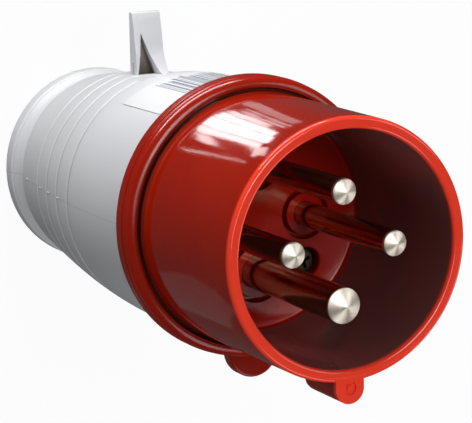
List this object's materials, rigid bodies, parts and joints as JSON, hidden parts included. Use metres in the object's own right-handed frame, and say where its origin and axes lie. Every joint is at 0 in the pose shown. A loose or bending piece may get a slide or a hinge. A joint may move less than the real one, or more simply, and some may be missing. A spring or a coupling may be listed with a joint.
{
  "type": "industrial pin and sleeve plug",
  "caption": "Industrial pin and sleeve plug: pins in a keyed red shroud, a collar with a tab, a tapered grey handle with a catch fin, and a screwed cable gland in its rear end.",
  "frame": {"origin": "centre of the rear recess, in the plane of the rear ring that the plug stands on", "axes": "+Z along the pins out of the mouth, +Y towards the catch fin, -Y towards the earth pin, the key rib and the collar's tab"},
  "size_m": [0.0566, 0.0697, 0.118],
  "materials": {
    "red_plastic": "glossy signal-red moulded polyamide",
    "grey_plastic": "light grey moulded plastic with a fine satin grain",
    "nut_plastic": "mid grey moulded polyamide, satin",
    "white_plastic": "natural white acetal, satin",
    "black_plastic": "black glass-filled polyamide, matt",
    "nickel_brass": "turned brass with a thin satin nickel plate, turning marks on the tips",
    "zinc_steel": "zinc-plated steel",
    "black_rubber": "black rubber, matt"
  },
  "bodies": {
    "root": {"shroud": "red_plastic", "seal_ring": "black_rubber", "phase_pin_left": "nickel_brass", "phase_pin_top": "nickel_brass", "phase_pin_right": "nickel_brass", "earth_pin": "nickel_brass", "terminal_screw_left": "zinc_steel", "terminal_screw_top": "zinc_steel", "terminal_screw_right": "zinc_steel", "terminal_screw_earth": "zinc_steel", "cord_bridge": "black_plastic", "bridge_screw": "zinc_steel", "clamp_saddle": "black_plastic", "clamp_screw_1": "zinc_steel", "clamp_screw_2": "zinc_steel", "front_screw_1": "zinc_steel", "front_screw_2": "zinc_steel", "handle": "grey_plastic", "grommet": "black_rubber"},
    "ring": {"slip_ring": "white_plastic"},
    "nut": {"gland_nut": "nut_plastic"}
  },
  "joints": [
    {"name": "gland_travel", "type": "slide", "parent": "root", "child": "ring", "axis": [0, 0, -1], "range_m": [0, 0.003]},
    {"name": "gland_turn", "type": "hinge", "parent": "ring", "child": "nut", "pos_m": [0, 0, 0.0075], "axis": [0, 0, -1], "range_deg": [0, 540]}
  ],
  "couplings": [
    {"joint": "gland_turn", "follows": "gland_travel", "rad_per_m": 3141.6}
  ]
}
